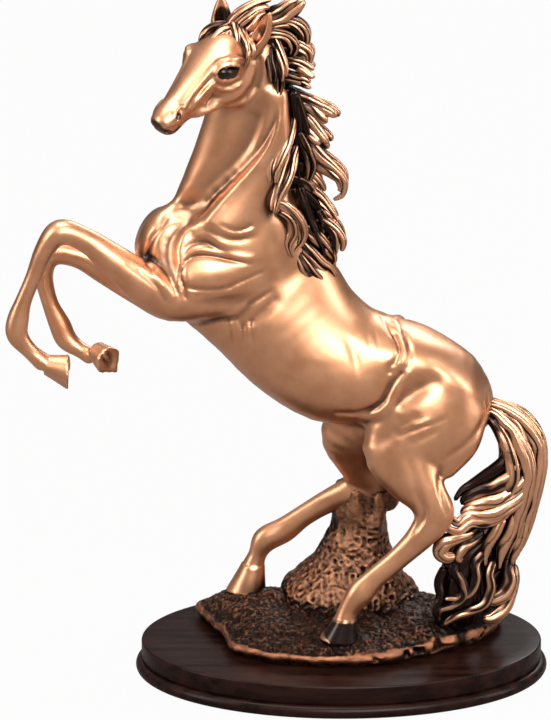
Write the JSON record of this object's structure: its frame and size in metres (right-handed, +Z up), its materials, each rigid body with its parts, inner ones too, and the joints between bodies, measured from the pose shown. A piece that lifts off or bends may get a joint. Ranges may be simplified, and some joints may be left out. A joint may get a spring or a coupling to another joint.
{
  "type": "horse statue",
  "caption": "Rearing horse statue in sectional cast bronze, with a rocky ground and tree stump, on a stepped oval wooden plinth with a felt base.",
  "frame": {"origin": "centre of the felt's underside, on the surface that the statue stands on", "axes": "+Z up; the horse faces -X; its left side is towards -Y; the plinth's long axis is X"},
  "size_m": [0.2842, 0.146, 0.3741],
  "materials": {
    "bronze": "satin polished bronze with a copper tone and darker hollows",
    "hair_bronze": "bronze with dark patina in the grooves and rubbed copper ridges",
    "dark_bronze": "rough dark brown patina with rubbed copper high points",
    "stained_wood": "dark mahogany stain, satin lacquer",
    "steel": "zinc plated steel",
    "felt": "black pressed felt"
  },
  "bodies": {
    "root": {"felt_base": "felt", "oval_plinth": "stained_wood", "plinth_screw_1": "steel", "plinth_screw_2": "steel", "plinth_screw_3": "steel", "plinth_washer_1": "steel", "plinth_washer_2": "steel", "plinth_washer_3": "steel", "rock_ground": "dark_bronze", "tree_stump": "dark_bronze", "stump_pin": "steel", "hoof_stud_left": "steel", "hoof_stud_right": "steel", "hind_leg_left": "bronze", "hind_leg_right": "bronze", "hind_leg_pin_left": "steel", "hind_leg_pin_right": "steel", "torso": "bronze", "neck_collar": "steel", "neck": "bronze", "head_pin": "steel", "head": "bronze", "forelock": "hair_bronze", "mane_upper": "hair_bronze", "mane_middle": "hair_bronze", "mane_lower": "hair_bronze", "foreleg_left": "bronze", "foreleg_right": "bronze", "foreleg_pin_left": "steel", "foreleg_pin_right": "steel", "tail_dock": "hair_bronze", "tail_pin": "steel", "tail_fall": "hair_bronze", "tail_tip": "hair_bronze"}
  },
  "joints": []
}
